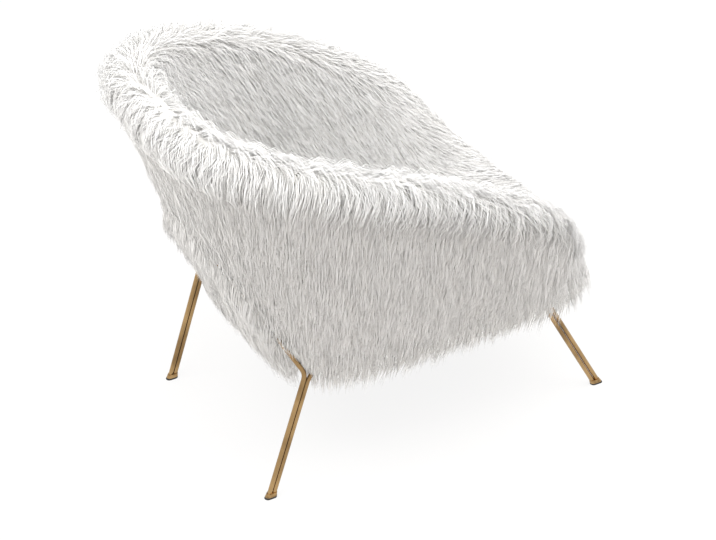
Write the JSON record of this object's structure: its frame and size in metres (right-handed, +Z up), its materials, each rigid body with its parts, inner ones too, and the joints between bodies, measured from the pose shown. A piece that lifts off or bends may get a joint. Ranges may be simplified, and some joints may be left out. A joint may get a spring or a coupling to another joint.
{
  "type": "tub lounge chair",
  "caption": "Low tub lounge chair: a tilted round bucket seat in long shaggy faux fur on a fixed base of bent brass rod with rubber glides.",
  "frame": {"origin": "on the floor, in the middle plane, under the middle of the chair's length", "axes": "+Z up, the seat opens towards -Y, +X is the sitter's left"},
  "size_m": [0.7904, 0.9574, 0.8267],
  "materials": {
    "brass_rod": "brushed and lacquered",
    "glide_rubber": "matte",
    "zinc_steel": "zinc plated",
    "ply": "plain plywood",
    "foam": "open foam under a cover",
    "lining": "thin non-woven sheet",
    "fur": "long shaggy faux fur, off-white"
  },
  "bodies": {
    "root": {"side_rod_left": "brass_rod", "side_rod_right": "brass_rod", "front_hoop": "brass_rod", "back_hoop": "brass_rod", "glide_rear_left": "glide_rubber", "glide_rear_right": "glide_rubber", "glide_front_left": "glide_rubber", "glide_front_right": "glide_rubber", "seat_plate_rear_left": "zinc_steel", "seat_plate_rear_right": "zinc_steel", "seat_plate_front_left": "zinc_steel", "seat_plate_front_right": "zinc_steel", "seat_screw_rear_left_1": "zinc_steel", "seat_screw_rear_left_2": "zinc_steel", "seat_screw_rear_right_1": "zinc_steel", "seat_screw_rear_right_2": "zinc_steel", "seat_screw_front_left_1": "zinc_steel", "seat_screw_front_left_2": "zinc_steel", "seat_screw_front_right_1": "zinc_steel", "seat_screw_front_right_2": "zinc_steel", "seat_board": "ply", "dust_cover": "lining", "hoop_tab_left": "brass_rod", "hoop_tab_right": "brass_rod", "hoop_bolt_left": "zinc_steel", "hoop_bolt_right": "zinc_steel", "hoop_nut_left": "zinc_steel", "hoop_nut_right": "zinc_steel", "seat_shell": "ply", "foam_bucket": "foam", "foam_seat": "foam", "fur_front_border": "fur", "fur_outside_left": "fur", "fur_outside_back": "fur", "fur_outside_right": "fur", "fur_front_roll": "fur", "fur_arm_left": "fur", "fur_wing_left": "fur", "fur_inside_back": "fur", "fur_wing_right": "fur", "fur_arm_right": "fur", "fur_seat": "fur"}
  },
  "joints": []
}
